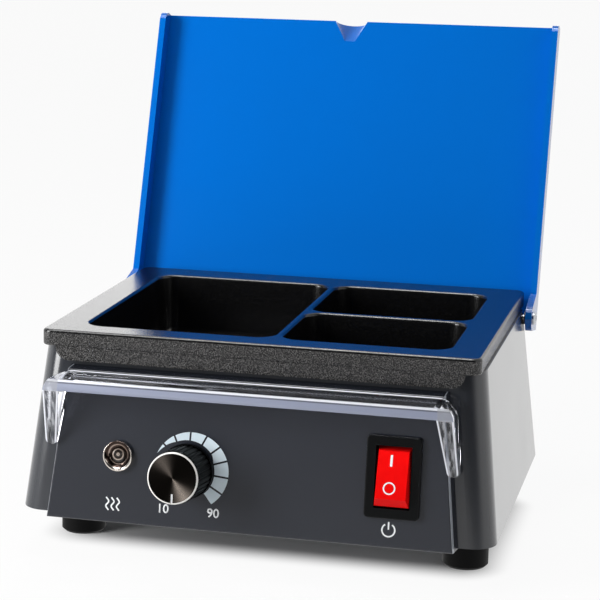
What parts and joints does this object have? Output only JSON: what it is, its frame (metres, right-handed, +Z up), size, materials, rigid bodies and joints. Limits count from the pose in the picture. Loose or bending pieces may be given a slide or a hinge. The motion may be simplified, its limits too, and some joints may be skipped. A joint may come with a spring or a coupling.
{
  "type": "dental lab wax heater",
  "caption": "Bench wax heater with separate cast wells under a hinged lid, temperature knob, lamp, rocker switch and a clear splash visor on a tapering grey housing.",
  "frame": {"origin": "on the ground under the middle of the outline, lid standing open", "axes": "+X to the user's right, +Y to the back, +Z up"},
  "size_m": [0.1926, 0.232, 0.2055],
  "materials": {
    "black_rubber": "moulded, matte",
    "zinc_steel": "zinc plated",
    "base_steel": "sheet steel, grey paint",
    "housing_grey": "dark grey, glossy",
    "panel_grey": "dark grey, smooth satin gloss",
    "cast_black": "cast, black non-stick coating with a fine grain",
    "heater_foil": "mica and foil laminate",
    "insulation": "ceramic fibre",
    "cutout_black": "phenolic",
    "clear_acrylic": "clear acrylic, polished",
    "lamp_chrome": "polished",
    "lamp_clear": "clear moulding",
    "knob_black": "black, fluted",
    "cap_metal": "spun, black anodised, bright cut edge",
    "switch_black": "satin black",
    "rocker_red": "glossy red",
    "contact_brass": "plain",
    "board_green": "glass epoxy board",
    "relay_blue": "moulded case",
    "block_green": "moulded",
    "lid_blue": "bright blue, satin gloss",
    "nylon_black": "nylon"
  },
  "bodies": {
    "heater": {"feet": "black_rubber", "foot_washers": "zinc_steel", "tie_screws": "zinc_steel", "support_posts": "zinc_steel", "base_plate": "base_steel", "housing": "housing_grey", "well_plate": "cast_black", "heater_element": "heater_foil", "insulation_pad": "insulation", "clamp_plate": "base_steel", "clamp_screws": "zinc_steel", "thermal_cutout": "cutout_black", "cutout_screws": "zinc_steel", "temperature_sensor": "zinc_steel", "front_panel": "panel_grey", "panel_screws": "zinc_steel", "splash_visor": "clear_acrylic", "lamp_bezel": "lamp_chrome", "lamp_lens": "lamp_clear", "lamp_body": "cutout_black", "lamp_nut": "zinc_steel", "potentiometer": "cutout_black", "pot_nut": "zinc_steel", "switch_body": "switch_black", "switch_blades": "contact_brass", "power_inlet": "switch_black", "inlet_pins": "contact_brass", "inlet_screws": "zinc_steel", "board_standoffs": "contact_brass", "circuit_board": "board_green", "board_screws": "zinc_steel", "relay": "relay_blue", "terminal_block": "block_green", "hinge_screws": "zinc_steel", "hinge_washers": "nylon_black", "hinge_nuts": "zinc_steel"},
    "lid": {"lid": "lid_blue"},
    "knob": {"knob_body": "knob_black", "knob_cap": "cap_metal", "pot_shaft": "zinc_steel"},
    "rocker": {"switch_rocker": "rocker_red"}
  },
  "joints": [
    {"name": "lid_hinge", "type": "hinge", "parent": "heater", "child": "lid", "pos_m": [0, 0.04509, 0.082], "axis": [1, 0, 0], "range_deg": [0, 112.8]},
    {"name": "knob_turn", "type": "hinge", "parent": "heater", "child": "knob", "pos_m": [-0.0243, -0.09359, 0.04134], "axis": [0, 0.9911, -0.1331], "range_deg": [0, 300]},
    {"name": "rocker_tilt", "type": "hinge", "parent": "heater", "child": "rocker", "pos_m": [0.05735, -0.09152, 0.0455], "axis": [1, 0, 0], "range_deg": [0, 26]}
  ]
}
